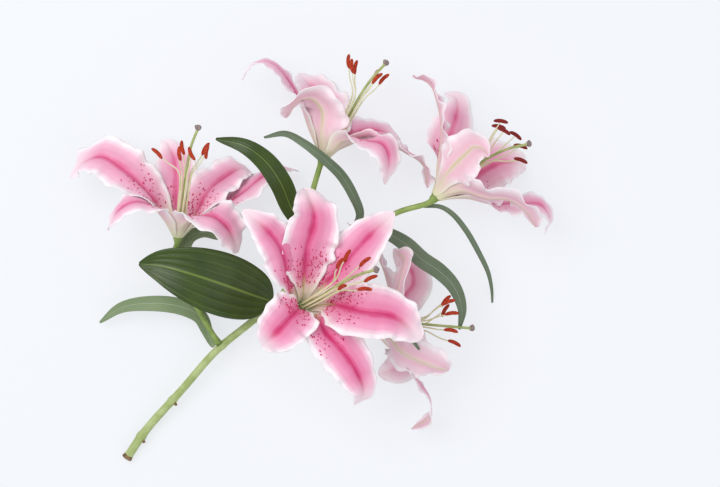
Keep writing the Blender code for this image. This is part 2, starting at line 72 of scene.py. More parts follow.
# ---------------------------------------------------------------- the flowers
# seat: centre of the receptacle. axis: where the flower faces. roll: azimuth of the first sepal,
# from the flower's underside, in degrees. tepals: sepal and petal in turn, 60 degrees apart; each
# gives its width against the others of its whorl, its twist at the tip in degrees, then the points of its
# midrib beyond the funnel, from the seat.
# pistil: points of the style from the seat. anthers: centre from the seat, heading and dip in degrees.
FLOWERS = {
    "front": {
        "seat": (-50.0, -55.5, 80.0),
        "axis": (0.39, 0.46, 0.80),
        "roll": -5.0,
        "tepals": (
            (1.0, 0, ((41, 43, 16), (60, 64, 14), (80, 83, 4))),
            (1.0, -12, ((4, 50, 24), (11, 78, 27), (4, 100, 16), (1, 103, 12))),
            (1.0, -30, ((-17, 50, 40), (-31, 69, 48), (-50, 84, 48))),
            (0.9, 0, ((-15, -14, 48), (-26, -25, 50), (-34, -32, 40))),
            (1.0, 20, ((20, -20, 30), (33, -34, 35), (47, -54, 33), (53, -74, 25), (45, -84, 18))),
            (1.0, 6, ((50, -2, 36), (79, -7, 38), (104, -26, 28))),
        ),
        "pistil": ((14, 8, 20), (30, 19, 34), (49, 29, 48), (66, 34, 58)),
        "anthers": (
            ((54, 40, 46), 40, 10),
            ((39, 45, 56), 65, 20),
            ((33, 39, 62), 55, 30),
            ((35, 19, 70), 30, 50),
            ((54, 17, 60), 0, 10),
            ((59, 26, 54), 25, 10),
        ),
    },
    "left": {
        "seat": (-162.5, 6.5, 46.0),
        "axis": (0.15, 0.93, 0.33),
        "roll": 20.0,
        "tepals": (
            (1.0, -10, ((-3, 46, -15), (-6, 70, -28), (-14, 85, -36), (-19, 87, -40))),
            (0.95, -38, ((-25, 39, 8), (-46, 58, 8), (-67, 71, 4), (-84, 67, -4), (-98, 53, -12))),
            (0.9, -20, ((-20, 27, 30), (-35, 30, 40), (-49, 22, 38), (-60, 5, 24))),
            (0.95, 45, ((24, 18, 34), (38, 16, 43), (50, 4, 41), (56, -14, 30))),
            (0.95, 25, ((39, 26, -2), (57, 39, -6), (75, 54, -16), (93, 62, -26), (107, 59, -34))),
            (0.9, 10, ((24, 38, -8), (39, 53, -20), (55, 62, -30), (65, 56, -38))),
        ),
        "pistil": ((5, 27, 10), (9, 54, 20), (14, 78, 28), (22, 97, 34)),
        "anthers": (
            ((6, 78, 21), 100, 0),
            ((-16, 73, 24), -45, 0),
            ((5, 72, 38), 95, 0),
            ((15, 72, 34), 115, 0),
            ((28, 74, 28), 80, 0),
            ((26, 77, 20), 60, 0),
        ),
    },
    "top": {
        "seat": (-33.0, 76.0, 52.0),
        "axis": (0.34, 0.94, 0.0),
        "roll": 95.0,
        "tepals": (
            (1.0, -20, ((-26, 62, 0), (-47, 85, 0), (-64, 83, -2), (-72, 70, -6))),
            (0.9, 0, ((0, 41, 26), (-10, 51, 35), (-22, 48, 37), (-32, 34, 26))),
            (1.0, 50, ((41, 14, 27), (54, 10, 33), (59, -5, 30), (55, -24, 22))),
            (0.95, 10, ((39, 18, -4), (57, 14, -7), (74, 6, -10), (90, -5, -16), (94, -26, -24))),
            (0.9, 10, ((25, 23, -24), (40, 27, -33), (56, 26, -40), (70, 19, -45))),
            (1.0, -15, ((2, 42, -24), (-5, 60, -33), (-15, 72, -41), (-23, 79, -46))),
        ),
        "pistil": ((17, 26, 0), (31, 52, 2), (44, 71, 4), (58, 86, 4)),
        "anthers": (
            ((23, 85, 10), 92, 0),
            ((26, 80, 20), 95, 0),
            ((48, 70, 12), 45, 0),
            ((54, 70, 4), 45, 0),
            ((47, 74, -12), 70, 0),
            ((29, 81, -2), 80, 0),
        ),
    },
    "right": {
        "seat": (67.0, 41.5, 50.0),
        "axis": (0.73, 0.68, 0.0),
        "roll": 37.0,
        "tepals": (
            (1.0, -30, ((12, 48, -29), (20, 72, -37), (21, 90, -42), (10, 96, -45))),
            (1.0, -10, ((6, 59, 6), (2, 85, 4), (-4, 100, 2), (-20, 108, -4))),
            (1.0, 0, ((24, 35, 35), (32, 42, 46), (40, 40, 56), (44, 33, 60))),
            (0.95, 20, ((44, -1, 28), (64, -3, 33), (79, -13, 30), (88, -27, 20))),
            (0.95, 25, ((53, -6, -8), (77, -5, -6), (95, -7, -4), (103, -19, -8), (99, -33, -14))),
            (1.0, 10, ((44, 24, -26), (62, 32, -30), (75, 32, -35), (84, 26, -41))),
        ),
        "pistil": ((20, 17, 2), (44, 33, 5), (66, 43, 8), (85, 47, 10)),
        "anthers": (
            ((56, 62, 8), -12, 0),
            ((57, 66, 20), -8, 0),
            ((59, 57, 30), -28, 0),
            ((75, 32, 14), -20, 0),
            ((76, 45, 0), -15, 0),
            ((72, 55, -4), -35, 0),
        ),
    },
    "rear": {
        "seat": (4.5, -67.0, 38.0),
        "axis": (0.97, -0.10, 0.0),
        "roll": 30.0,
        "tepals": (
            (0.9, -40, ((34, 18, -24), (44, 31, -27), (40, 47, -27), (26, 62, -28))),
            (0.95, -10, ((18, 42, -5), (8, 62, -11), (-6, 76, -17), (-16, 86, -22))),
            (1.0, 0, ((28, 24, 31), (33, 41, 37), (35, 53, 30), (28, 60, 20))),
            (0.95, 0, ((32, -28, 26), (48, -36, 30), (63, -42, 26), (74, -46, 16))),
            (0.95, 5, ((35, -40, -3), (48, -57, -4), (59, -75, -6), (58, -90, -10), (42, -101, -20))),
            (0.8, 60, ((31, -17, -23), (38, -30, -28), (30, -46, -31), (12, -52, -32))),
        ),
        "pistil": ((24, -3, 2), (50, -5, 4), (74, -7, 6), (98, -9, 6)),
        "anthers": (
            ((72, 16, 8), 50, 0),
            ((74, 15, 18), 20, 0),
            ((77, 5, 20), 5, 0),
            ((76, -10, 22), -10, 0),
            ((80, -22, 4), -25, 0),
            ((72, 7, -4), 60, 0),
        ),
    },
}

# ---------------------------------------------------------------- stem and flower stalks
# Each point is (x, y, z). A stalk's last point is worked out from its flower.
STEM_POINTS = (
    (-213, -196, 5), (-195, -170, 9), (-162, -133, 14), (-130, -97, 19), (-97, -70, 24), (-61, -38, 30),
)
STALK_POINTS = {
    "left": ((-127.9, -90.3, 23.6), (-140, -70, 27), (-153, -46, 32), (-168, -14, 40)),
    "top": ((-61.8, -34.3, 28.5), (-51, 6, 38), (-43, 44, 46)),
    "right": ((-61, -38, 32.7), (-15, 2, 40), (34, 28, 47)),
    "front": ((-61.8, -41.4, 34.6), (-62, -50, 50), (-59, -61, 62)),
    "rear": ((-56.5, -38.4, 28.2), (-28, -58, 32), (-10, -66, 35)),
}

# ---------------------------------------------------------------- leaves
# points of the midrib from its foot, greatest half width, twist from foot to tip, roll at the foot
LEAVES = {
    "broad_leaf": (((-79, -52.2, 30.7), (-98, -45, 48), (-125, -35, 58), (-152, -26, 63), (-175, -20, 62),
                    (-196, -18, 56)), 28.0, 0, 0),
    "low_leaf": (((-132.9, -94, 19.9), (-139, -78, 19), (-145, -66, 20), (-162, -57, 24), (-189, -54, 25),
                  (-216, -58, 19), (-237, -72, 10)), 7.5, 0, 0),
    "small_bract": (
        ((-162.5, -21, 36), (-159, -6, 32), (-153, 6, 31), (-141, 10, 32), (-127, 4, 32)),
        6.0, 0, 0,
    ),
    "dark_leaf": (((-47, 8, 42), (-61, 31, 48), (-70, 53, 56), (-84, 73, 61), (-102, 86, 62), (-128, 93, 54)),
                  10.0, 0, 0),
    "arched_leaf": (((-8, 10, 44), (0, 25, 50), (-6, 43, 58), (-17, 61, 64), (-33, 76, 68), (-50, 89, 68),
                     (-66, 97, 64), (-85, 94, 58)), 5.0, 0, 0),
    "draped_leaf": (((8, 13, 46), (22, 10, 50), (40, 0, 53), (55, -14, 54), (71, -25, 53), (84, -39, 50),
                     (91, -58, 46), (89, -77, 40)), 7.5, 0, 0),
    "thread_leaf": (((56, 33, 46), (71, 33, 44), (82, 27, 40), (95, 12, 34), (107, -8, 26), (116, -26, 18),
                     (120, -42, 9), (121, -54, 3)), 2.6, 0, 0),
    "hidden_leaf": (
        ((-58.6, -50, 53), (-20, -65, 76), (17, -71, 87), (39, -77, 87), (52, -93, 78)),
        4.0, 0, 0,
    ),
}


# ---------------------------------------------------------------- curves and surfaces, numpy only
def unit(vector):
    return vector / np.linalg.norm(vector)


def smooth_step(low, high, value):
    t = np.clip((value - low) / (high - low), 0, 1)
    return t * t * (3 - 2 * t)


def smooth_curve(points, count):
    """count + 1 points, evenly spaced along a Catmull-Rom curve through the given points."""
    knots = np.array(points, float)
    ends = np.vstack([2 * knots[0] - knots[1], knots, 2 * knots[-1] - knots[-2]])
    gaps = np.sqrt(np.linalg.norm(np.diff(ends, axis=0), axis=1))
    dense = []
    for i in range(1, len(ends) - 2):
        before, here, after = gaps[i - 1], gaps[i], gaps[i + 1]
        p0, p1, p2, p3 = ends[i - 1 : i + 3]
        m1 = here * ((p1 - p0) / before - (p2 - p0) / (before + here) + (p2 - p1) / here)
        m2 = here * ((p2 - p1) / here - (p3 - p1) / (here + after) + (p3 - p2) / after)
        t = np.linspace(0, 1, 24, endpoint=False)[:, None]
        dense.append(
            (2 * t**3 - 3 * t**2 + 1) * p1 + (t**3 - 2 * t**2 + t) * m1
            + (3 * t**2 - 2 * t**3) * p2 + (t**3 - t**2) * m2
        )
    dense = np.vstack(dense + [knots[-1:]])
    length = np.concatenate([[0], np.cumsum(np.linalg.norm(np.diff(dense, axis=0), axis=1))])
    wanted = np.linspace(0, length[-1], count + 1)
    return np.stack([np.interp(wanted, length, dense[:, k]) for k in range(3)], axis=1)


def frames_along(line, side):
    """Unit tangent, side and face direction at each point, the side carried along without spin."""
    tangents = np.array([unit(t) for t in np.gradient(line, axis=0)])
    sides = []
    for tangent in tangents:
        side = unit(side - side.dot(tangent) * tangent)
        sides.append(side)
    sides = np.array(sides)
    return tangents, sides, np.cross(tangents, sides)


def turned(sides, faces, angles):
    """Side and face directions turned about the tangent by the angles, in radians."""
    c, s = np.cos(angles)[:, None], np.sin(angles)[:, None]
    return sides * c + faces * s, faces * c - sides * s


def flower_frame(flower):
    """Axis, and the two directions across it: azimuth 0 on the underside, and azimuth 90."""
    axis = unit(np.array(flower["axis"], float))
    under = unit(np.array([0, 0, -1.0]) + axis[2] * axis)
    return axis, under, np.cross(axis, under)


def tepal_midrib(flower, index, count):
    """The midrib's points, its azimuth direction, and each point's distance from the flower's axis."""
    axis, under, across = flower_frame(flower)
    angle = math.radians(flower["roll"] + 60 * index)
    outward = math.cos(angle) * under + math.sin(angle) * across
    outside = WHORL_STEP if index % 2 == 0 else 0.0
    seat = np.array(flower["seat"], float)
    funnel = [
        seat + height * axis + (radius + outside * min(1.0, height / 9.0)) * outward
        for height, radius in TUBE_PROFILE
    ]
    free = [seat + np.array(point, float) for point in flower["tepals"][index][2]]
    line = smooth_curve(funnel + free, count)
    from_seat = line - seat
    radii = np.linalg.norm(from_seat - (from_seat @ axis)[:, None] * axis, axis=1)
    return line, np.cross(axis, outward), radii


def tepal_width(v, index):
    """Half width at each share v of the length."""
    sepal = index % 2 == 0
    widest, tip, greatest = (0.46, 0.75, SEPAL_HALF_WIDTH) if sepal else (0.50, 0.60, PETAL_HALF_WIDTH)
    rise = tip * widest / (1 - widest)
    shape = (v**rise) * (1 - v) ** tip / (widest**rise * (1 - widest) ** tip)
    return CLAW_HALF_WIDTH * (1 - v) ** 0.5 + (greatest - CLAW_HALF_WIDTH * 0.7) * shape


def stalk_line(name, count):
    """Centre line and radius along a flower stalk, ending in its flower's receptacle."""
    flower = FLOWERS[name]
    axis, seat = flower_frame(flower)[0], np.array(flower["seat"], float)
    line = smooth_curve([*STALK_POINTS[name], seat - 7 * axis, seat + RECEPTACLE_TOP * axis], count)
    left = np.linalg.norm(line - line[-1], axis=1)
    return line, PEDICEL_RADIUS + (RECEPTACLE_RADIUS - PEDICEL_RADIUS) * smooth_step(9, 3, left)


def stem_line(count):
    """Centre line and radius along the main stem, from the cut end to the swelling of the umbel."""
    line = smooth_curve(STEM_POINTS, count)
    v = np.linspace(0, 1, count + 1)
    left = np.linalg.norm(line - line[-1], axis=1)
    swelling = (UMBEL_RADIUS - 3.0) * smooth_step(14, 3, left)
    return line, STEM_RADIUS - 0.9 * v + swelling


def filament_line(flower, index, count):
    """Centre line of a stamen's filament: from the ring, along the style, out to the anther."""
    axis, under, across = flower_frame(flower)
    seat = np.array(flower["seat"], float)
    angle = math.radians(flower["roll"] + 60 * index)
    outward = math.cos(angle) * under + math.sin(angle) * across
    ring_radius = (STAMEN_RING[0] + STAMEN_RING[1]) / 2
    foot = seat + (RECEPTACLE_TOP + SEAT_GAP + STAMEN_RING[2] / 2) * axis + ring_radius * outward
    tip = seat + np.array(flower["anthers"][index][0], float)
    style = [seat + np.array(point, float) for point in flower["pistil"]]
    low = foot + 0.9 * (style[0] - seat) + 0.5 * outward
    middle = style[1] + 3.8 * outward + 0.12 * (tip - style[1])
    return smooth_curve([foot, low, middle, 0.5 * (middle + tip) + 1.0 * outward, tip], count)


def pistil_line(flower, count):
    """Centre line and radius of ovary, style and stigma as one piece."""
    axis = flower_frame(flower)[0]
    seat = np.array(flower["seat"], float)
    foot = seat + (RECEPTACLE_TOP + SEAT_GAP) * axis
    style = [seat + np.array(point, float) for point in flower["pistil"]]
    line = smooth_curve([foot, foot + 4 * axis, *style], count)
    run = np.linspace(0, 1, count + 1) * np.linalg.norm(np.diff(line, axis=0), axis=1).sum()
    left = run[-1] - run
    radius = OVARY_RADIUS + (STYLE_RADIUS - OVARY_RADIUS) * smooth_step(0.6 * OVARY_LENGTH, OVARY_LENGTH, run)
    return line, radius + (STIGMA_RADIUS - STYLE_RADIUS) * smooth_step(5.0, 1.5, left)


def anther_line(centre, heading, dip):
    """A short bowed line through an anther's middle, and its radii."""
    h, d = math.radians(heading), math.radians(dip)
    along = np.array([math.cos(h) * math.cos(d), math.sin(h) * math.cos(d), math.sin(d)])
    bow = unit(np.cross(along, [0, 0, 1.0]))
    steps = np.array([-1, -0.75, 0, 0.75, 1])
    line = np.array([centre + 6.5 * s * along + 1.2 * (s * s - 0.4) * bow for s in steps])
    return line, ANTHER_RADIUS * np.array([0.45, 0.9, 1.0, 0.9, 0.45])


# ---------------------------------------------------------------- fine shape, millimetres
TEPAL_GRID = (28, 84)  # across, along
LEAF_GRID = (28, 90)
VISUAL_SECTOR = (0.60, 0.85)  # sepals, petals: the petals' edges run on inside the sepals
TEPAL_SHEET = 0.45  # thickness of a petal
LEAF_SHEET = 0.5  # and of a leaf
RUFFLE = (1.3, 2.4)  # height of the waves along the edge of a sepal and a petal
RUFFLE_LENGTH = 23.0  # from crest to crest along the edge
NOTCH = (0.028, 15.0)  # depth of the edge's unevenness against the half width, and its length
FULLNESS = (1.20, 1.14)  # a blade with its edge against the plain solid, sepals and petals
CHANNEL = (0.9, 1.3)  # depth of the groove along the midrib
CHANNEL_HALF_WIDTH = 2.6
SHOULDER = (0.5, 7.0, 4.0)  # rise beside the groove: height, distance from the midrib, breadth
SWELL = (0.35, 11.0)  # slow bulges of the blade: height, length
TINTS = {"front": 1.0, "left": 0.6, "top": 0.5, "right": 0.45, "rear": 0.2}
PAPILLA_COUNT = 130
PAPILLA_RADIUS = 0.72
PAPILLA_SHARE = (0.6, 1.0)  # of them on a sepal and on a petal
PAPILLA_SEED = 100
FINE_STYLE_RADIUS = 1.2
ANTHER_REACH = 1.55  # greatest radius of an anther
FILAMENT_TAPER = (1.05, 0.55)  # radius at the foot, and how much it loses towards the anther
STEM_RINGS = ((0.0, 0.9), (0.11, 0.8), (0.31, 0.7), (0.62, 0.6))  # scars: share of the length, height
STEM_NUBS = (  # share of the stem's length, direction, length, radius
    (0.11, (0.5, -0.75, 0.4), 6.5, 1.7),
    (0.31, (0.6, -0.5, 0.6), 7.0, 1.6),
    (0.80, (0.5, -0.8, 0.3), 10.0, 2.2),
)
BROWN_END = 0.012  # share of the stem that has browned at the cut
CAMERA_HEIGHT = 1770.0
CAMERA_LENS = 96.6
LAMPS = (("key", (-0.7, 0.5, 1.5), 14.0, 1.2), ("fill", (0.9, -0.6, 1.3), 5.0, 1.4))  # metres, watts, metres


def placed(points):
    return (np.asarray(points, float) - np.array(ORIGIN)) * MM


def srgb(red, green, blue):
    """A colour given as seen, 0 to 255, in linear light."""
    shares = np.array([red, green, blue]) / 255
    return (*np.where(shares <= 0.04045, shares / 12.92, ((shares + 0.055) / 1.055) ** 2.4), 1.0)


def grid_faces(along, across):
    """Quads of a grid, turned so that they face the upper or inner side."""
    first = (np.arange(along - 1)[:, None] * across + np.arange(across - 1)[None, :]).reshape(-1)
    return np.stack([first, first + across, first + across + 1, first + 1], axis=1)


def mesh_object(name, points, faces, finishes, values=None, face_finish=None):
    """A smooth mesh with its materials and named point values."""
    mesh = bpy.data.meshes.new(name)
    mesh.from_pydata(placed(points).tolist(), [], [list(map(int, face)) for face in faces])
    for key, numbers in (values or {}).items():
        mesh.attributes.new(key, "FLOAT", "POINT").data.foreach_set("value", np.asarray(numbers, np.float32))
    for finish in finishes:
        mesh.materials.append(finish)
    if face_finish is not None:
        mesh.polygons.foreach_set("material_index", np.asarray(face_finish, np.int32))
    mesh.shade_smooth()
    made = bpy.data.objects.new(name, mesh)
    bpy.context.scene.collection.objects.link(made)
    return made


def thicken(made, thickness):
    solid = made.modifiers.new("thickness", "SOLIDIFY")
    solid.thickness = thickness * MM
    solid.offset = 0.0
    solid.material_offset = 1
    solid.material_offset_rim = 0
    return made


def keep(made, node):
    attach(made, "root")
    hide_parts(node)


def tepal_fine(flower, index, seed):
    """Fine grid of a tepal with its groove, ruffled edge and slight irregularities."""
    across_count, along_count = TEPAL_GRID
    line, side, radii = tepal_midrib(flower, index, along_count)
    v = np.linspace(0, 1, along_count + 1)
    _, sides, faces = frames_along(line, side)
    share, twist, _ = flower["tepals"][index]
    sides, faces = turned(sides, faces, math.radians(twist) * smooth_step(*TWIST_RANGE, v))
    whorl = index % 2
    random = np.random.default_rng(seed)
    phase = random.uniform(0, 2 * math.pi, 6)
    length = np.linalg.norm(np.diff(line, axis=0), axis=1).sum()
    run = v * length
    room = VISUAL_SECTOR[whorl] * radii + 40 * smooth_step(0.3, 0.6, v)
    width = np.minimum(FULLNESS[whorl] * share * tepal_width(v, index), room)
    bend = 1 / radii + (FREE_BEND[whorl] - 1 / radii) * smooth_step(0.15, 0.55, v)
    u = np.linspace(-1, 1, across_count + 1)
    edge = np.abs(u)
    depth, spacing = NOTCH
    notch = 1 + depth * np.sin(2 * math.pi * run / spacing + phase[0])[:, None] * edge[None, :] ** 4
    half = width[:, None] * notch
    turn = bend[:, None] * half * u[None, :]
    sideways = np.sin(turn) / bend[:, None]
    raised = (1 - np.cos(turn)) / bend[:, None]
    free = smooth_step(0.22, 0.45, v) * (1 - 0.8 * smooth_step(0.9, 1.0, v))
    wave_left = np.sin(2 * math.pi * run / RUFFLE_LENGTH + phase[1]) + 0.5 * np.sin(
        2 * math.pi * run / (0.53 * RUFFLE_LENGTH) + phase[2]
    )
    wave_right = np.sin(2 * math.pi * run / (1.15 * RUFFLE_LENGTH) + phase[3]) + 0.5 * np.sin(
        2 * math.pi * run / (0.47 * RUFFLE_LENGTH) + phase[4]
    )
    wave = np.where(u[None, :] < 0, wave_left[:, None], wave_right[:, None])
    raised = raised + RUFFLE[whorl] * wave * free[:, None] * edge[None, :] ** 2.6
    groove = np.exp(-((u[None, :] * half / CHANNEL_HALF_WIDTH) ** 2)) * smooth_step(0.05, 0.2, v)[:, None]
    raised = raised - CHANNEL[whorl] * groove * (1 - smooth_step(0.8, 1.0, v))[:, None]
    height, distance, breadth = SHOULDER
    raised = raised + height * np.exp(-(((edge[None, :] * half - distance) / breadth) ** 2)) * free[:, None]
    height, length = SWELL
    swell = np.sin(run / length + phase[5])[:, None] * np.sin(2.2 * math.pi * u)[None, :]
    raised = raised + height * swell * free[:, None]
    points = line[:, None] + sides[:, None] * sideways[..., None] + faces[:, None] * raised[..., None]
    uu, vv = np.broadcast_to(u[None, :], half.shape), np.broadcast_to(v[:, None], half.shape)
    return points, uu, vv, uu * half, np.broadcast_to(run[:, None], half.shape)


def papillae(points, random, count):
    """Small raised dots over a tepal's lower half: their points and faces."""
    normals = np.cross(np.gradient(points, axis=0), np.gradient(points, axis=1))
    normals /= np.linalg.norm(normals, axis=-1, keepdims=True) + 1e-9
    dots, faces = [], []
    along, across = points.shape[:2]
    for _ in range(count):
        share = 0.16 + 0.36 * random.beta(1.3, 1.6)
        place = random.uniform(-0.72, 0.72)
        if abs(place) < 0.1:
            continue
        i, j = int(share * (along - 1)), int((place + 1) / 2 * (across - 1))
        centre, normal = points[i, j], normals[i, j]
        right = points[i, j + 1] - points[i, j]
        right = right / (np.linalg.norm(right) + 1e-9)
        up = np.cross(normal, right)
        centre = centre + right * random.uniform(-0.5, 0.5) + up * random.uniform(-0.6, 0.6)
        size = PAPILLA_RADIUS * random.uniform(0.6, 1.25)
        start = len(dots)
        for scale, height in ((1.0, 0.0), (0.7, 0.55)):
            for k in range(6):
                angle = k * math.pi / 3
                rim = right * math.cos(angle) + up * 1.35 * math.sin(angle)
                dots.append(centre + size * scale * rim + normal * (0.12 + size * height))
        dots.append(centre + normal * (0.12 + size * 0.8))
        for k in range(6):
            n = (k + 1) % 6
            faces.append((start + k, start + n, start + 6 + n, start + 6 + k))
            faces.append((start + 6 + k, start + 6 + n, start + 12))
        faces.append(tuple(start + k for k in range(5, -1, -1)))
    return dots, faces


def leaf_fine(leaf, seed):
    """Fine grid of a leaf with its folded midrib, parallel veins and gently waved edge."""
    points, greatest, twist, roll = leaf
    across_count, along_count = LEAF_GRID
    line = smooth_curve(points, along_count)
    v = np.linspace(0, 1, along_count + 1)
    _, sides, faces = frames_along(line, np.cross([0, 0, 1.0], line[1] - line[0]))
    sides, faces = turned(sides, faces, np.radians(roll + twist * v))
    width = 0.9 + (greatest - 0.9) * (v**0.62 * (1 - v) ** 0.85) / (0.42**0.62 * 0.58**0.85)
    u = np.linspace(-1, 1, across_count + 1)
    edge = np.abs(u)
    random = np.random.default_rng(seed)
    phase = random.uniform(0, 2 * math.pi, 3)
    wave = 0.03 * greatest * np.sin(9 * v + phase[0])[:, None] * edge[None, :] ** 2
    veins = 0.012 * greatest * np.cos(2 * math.pi * 3.5 * edge)[None, :]
    fold = 0.16 * edge[None, :] ** 1.5 * width[:, None] + wave + veins * (4 * v * (1 - v))[:, None]
    grid = line[:, None] + sides[:, None] * (u[None, :] * width[:, None])[..., None]
    grid = grid + faces[:, None] * fold[..., None]
    uu, vv = np.broadcast_to(u[None, :], fold.shape), np.broadcast_to(v[:, None], fold.shape)
    length = np.linalg.norm(np.diff(line, axis=0), axis=1).sum()
    return grid, uu, vv, uu * width[:, None], vv * length


def tube_parts(line, radii, sides_count, profile=None):
    """Points, faces and share along of a closed tube; profile(angle, share) scales its radius."""
    start = line[1] - line[0]
    seed = np.array([0, 0, 1.0]) if abs(unit(start)[2]) < 0.9 else np.array([1.0, 0, 0])
    _, side, face = frames_along(line, np.cross(seed, start))
    count = len(line)
    angles = 2 * math.pi * np.arange(sides_count) / sides_count
    share = np.linspace(0, 1, count)
    scale = np.ones((count, sides_count)) if profile is None else profile(angles[None, :], share[:, None])
    reach = (np.asarray(radii)[:, None] * scale)[..., None]
    rings = line[:, None] + reach * (
        np.cos(angles)[None, :, None] * side[:, None] + np.sin(angles)[None, :, None] * face[:, None]
    )
    points = np.vstack([rings.reshape(-1, 3), line[:1], line[-1:]])
    faces = []
    for i in range(count - 1):
        for k in range(sides_count):
            n = (k + 1) % sides_count
            here, following = i * sides_count, (i + 1) * sides_count
            faces.append((here + k, here + n, following + n, following + k))
    low, high, last = count * sides_count, count * sides_count + 1, (count - 1) * sides_count
    for k in range(sides_count):
        n = (k + 1) % sides_count
        faces.append((low, n, k))
        faces.append((high, last + k, last + n))
    along = np.concatenate([np.repeat(share, sides_count), [0, 1]])
    return points, faces, along


def joined(parts):
    """Several (points, faces, along, finish) as one mesh's lists."""
    points, faces, along, finish, start = [], [], [], [], 0
    for part_points, part_faces, part_along, index in parts:
        points.append(part_points)
        faces += [tuple(corner + start for corner in face) for face in part_faces]
        along.append(part_along)
        finish += [index] * len(part_faces)
        start += len(part_points)
    return np.vstack(points), faces, np.concatenate(along), finish


# ---------------------------------------------------------------- materials
class Finish:
    """A material with short helpers for its nodes."""

    def __init__(self, name, roughness, specular=0.4):
        self.material = bpy.data.materials.new(name)
        self.material.use_nodes = True
        self.tree = self.material.node_tree
        self.shader = self.tree.nodes["Principled BSDF"]
        self.shader.inputs["Roughness"].default_value = roughness
        self.shader.inputs["Specular IOR Level"].default_value = specular

    def node(self, kind, **settings):
        made = self.tree.nodes.new(kind)
        for key, value in settings.items():
            setattr(made, key, value)
        return made

    def link(self, output, target):
        self.tree.links.new(output, target)

    def value(self, name):
        return self.node("ShaderNodeAttribute", attribute_name=name).outputs["Fac"]

    def math(self, operation, first, second=None, third=None):
        made = self.node("ShaderNodeMath", operation=operation)
        for socket, item in zip(made.inputs, (first, second, third)):
            if item is None:
                continue
            if isinstance(item, (int, float)):
                socket.default_value = item
            else:
                self.link(item, socket)
        return made.outputs[0]

    def ramp(self, factor, stops, mode="EASE"):
        made = self.node("ShaderNodeValToRGB")
        made.color_ramp.interpolation = mode
        elements = made.color_ramp.elements
        while len(elements) < len(stops):
            elements.new(0.5)
        for element, (place, colour) in zip(elements, stops):
            element.position = place
            element.color = colour if isinstance(colour, tuple) else (colour, colour, colour, 1)
        self.link(factor, made.inputs[0])
        return made.outputs[0]

    def mix(self, factor, first, second, mode="MIX"):
        made = self.node("ShaderNodeMix", data_type="RGBA", blend_type=mode)
        for socket, item in zip((made.inputs[0], made.inputs[6], made.inputs[7]), (factor, first, second)):
            if isinstance(item, (int, float, tuple)):
                socket.default_value = item
            else:
                self.link(item, socket)
        return made.outputs[2]

    def noise(self, vector, scale, detail=3.0):
        made = self.node("ShaderNodeTexNoise")
        made.inputs["Scale"].default_value = scale
        made.inputs["Detail"].default_value = detail
        if vector is not None:
            self.link(vector, made.inputs["Vector"])
        return made.outputs[0]

    def vector(self, x, y, z=0.0):
        made = self.node("ShaderNodeCombineXYZ")
        for socket, item in zip(made.inputs, (x, y, z)):
            if isinstance(item, (int, float)):
                socket.default_value = item
            else:
                self.link(item, socket)
        return made.outputs[0]

    def place(self):
        return self.node("ShaderNodeTexCoord").outputs["Object"]

    def finish(self, colour, height=None, strength=0.3, distance=0.0004):
        self.link(colour, self.shader.inputs["Base Color"])
        if height is not None:
            bump = self.node("ShaderNodeBump")
            bump.inputs["Strength"].default_value = strength
            bump.inputs["Distance"].default_value = distance
            self.link(height, bump.inputs["Height"])
            self.link(bump.outputs[0], self.shader.inputs["Normal"])
        return self.material


def streaks(made, fine=1.1, long=0.03):
    """Noise drawn out along a sheet's length, as its veins are."""
    across = made.math("MULTIPLY", made.value("mm_across"), fine)
    along = made.math("MULTIPLY", made.value("mm_along"), long)
    return made.noise(made.vector(across, along, made.value("tint")), 1.0, 2.0)


def petal_inner():
    made = Finish("petal_inner", 0.48, 0.3)
    edge = made.math("ABSOLUTE", made.value("across"))
    noise = made.noise(made.place(), 55.0, 3.0)
    wander = made.math("MULTIPLY_ADD", noise, 0.28, -0.14)
    vein = streaks(made)
    shifted = made.math("ADD", edge, wander)
    shifted = made.math("MULTIPLY_ADD", vein, 0.10, made.math("SUBTRACT", shifted, 0.05))
    deep = made.ramp(shifted, [(0.0, srgb(206, 58, 112)), (0.07, srgb(220, 88, 140)),
                               (0.20, srgb(232, 132, 172)), (0.58, srgb(241, 164, 196)),
                               (0.76, srgb(248, 204, 222)), (0.89, srgb(253, 243, 247))])
    pale = made.ramp(shifted, [(0.0, srgb(228, 120, 160)), (0.07, srgb(236, 152, 184)),
                               (0.22, srgb(243, 192, 213)), (0.62, srgb(249, 216, 228)),
                               (0.80, srgb(252, 236, 242)), (0.93, srgb(254, 249, 251))])
    colour = made.mix(made.value("tint"), pale, deep)
    along = made.value("along")
    throat = made.ramp(along, [(0.0, 1.0), (0.10, 0.85), (0.24, 0.0), (1.0, 0.0)])
    colour = made.mix(throat, colour, srgb(240, 236, 214))
    furrow = made.math("MULTIPLY", made.ramp(edge, [(0.0, 1.0), (0.10, 0.0), (1.0, 0.0)]),
                       made.ramp(along, [(0.0, 1.0), (0.16, 1.0), (0.27, 0.0), (1.0, 0.0)]))
    colour = made.mix(furrow, colour, srgb(176, 190, 100))
    tip = made.ramp(along, [(0.0, 0.0), (0.72, 0.0), (0.97, 0.85)])
    colour = made.mix(tip, colour, srgb(252, 238, 243))
    return made.finish(colour, vein, 0.35, 0.0006)


def petal_outer():
    made = Finish("petal_outer", 0.5, 0.3)
    edge = made.math("ABSOLUTE", made.value("across"))
    vein = streaks(made)
    shifted = made.math("MULTIPLY_ADD", vein, 0.16, made.math("SUBTRACT", edge, 0.08))
    colour = made.ramp(shifted, [(0.0, srgb(216, 206, 168)), (0.07, srgb(238, 206, 206)),
                                 (0.25, srgb(243, 196, 212)), (0.6, srgb(247, 212, 224)),
                                 (0.88, srgb(253, 240, 245))])
    base = made.ramp(made.value("along"), [(0.0, 1.0), (0.12, 0.55), (0.35, 0.0), (1.0, 0.0)])
    colour = made.mix(base, colour, srgb(226, 226, 186))
    return made.finish(colour, vein, 0.4, 0.0007)


